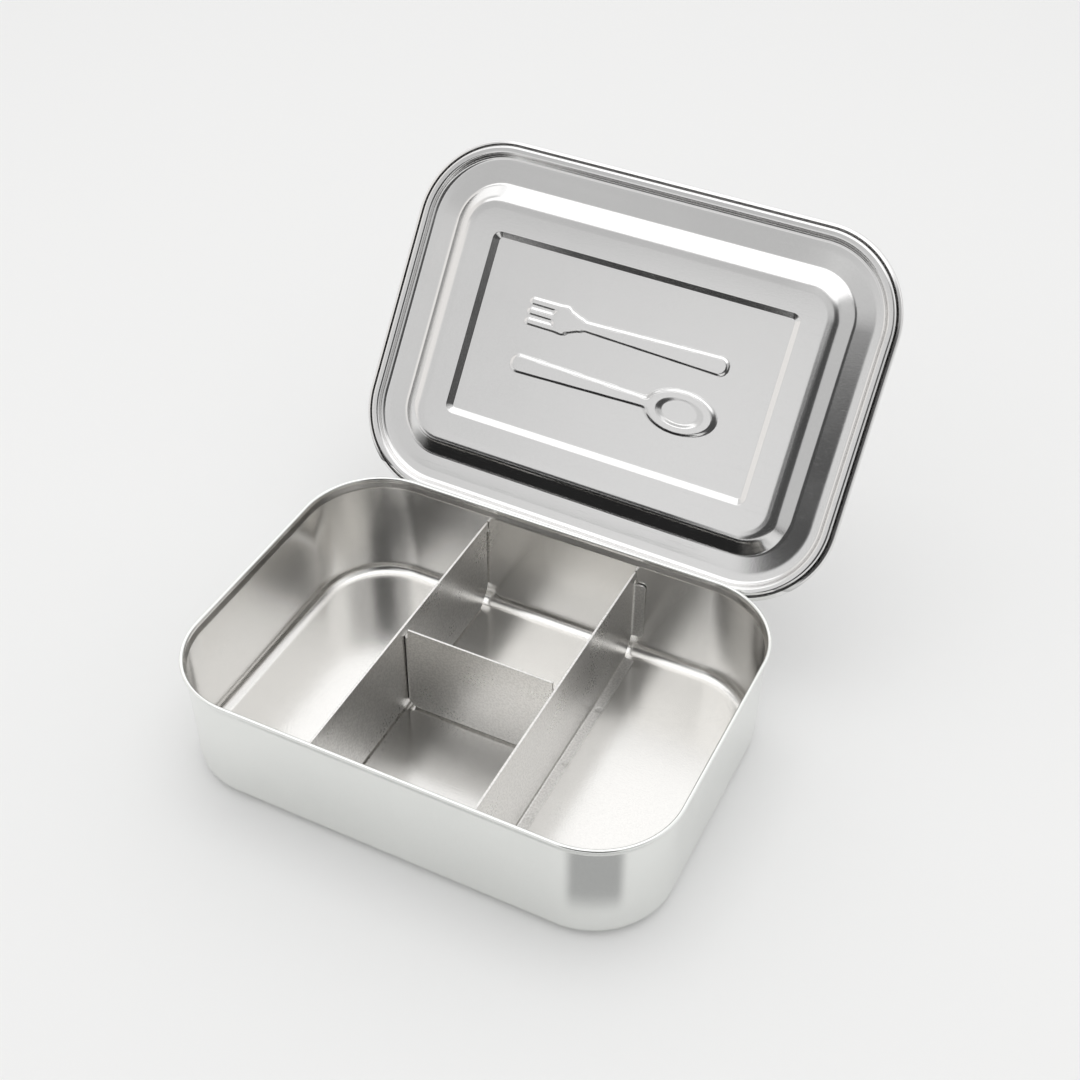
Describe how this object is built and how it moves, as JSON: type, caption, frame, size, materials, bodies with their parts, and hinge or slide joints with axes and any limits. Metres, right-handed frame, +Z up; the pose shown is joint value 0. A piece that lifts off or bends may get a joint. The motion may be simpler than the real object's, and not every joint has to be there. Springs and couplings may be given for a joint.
{
  "type": "bento lunch box",
  "caption": "Rectangular stainless-steel lunch tray with rounded corners and welded compartment dividers; its shallow pressed lid leans open behind it.",
  "frame": {"origin": "centre of the tray's flat underside", "axes": "+Z up, +X along the tray's long side to the right, +Y towards the back where the lid leans"},
  "size_m": [0.1645, 0.1847, 0.1313],
  "materials": {
    "tray_steel": "polished outside, satin inside",
    "divider_steel": "fine satin grain, bright sheared edges",
    "lid_steel": "bright satin, pressed"
  },
  "bodies": {
    "tray": {"tray": "tray_steel", "left_divider": "divider_steel", "right_divider": "divider_steel", "cross_divider": "divider_steel"},
    "lid": {"lid": "lid_steel"}
  },
  "joints": [
    {"name": "lid_lift_off", "type": "slide", "parent": "tray", "child": "lid", "axis": [0, 0.866, 0.5], "range_m": [0, 0.06]}
  ]
}
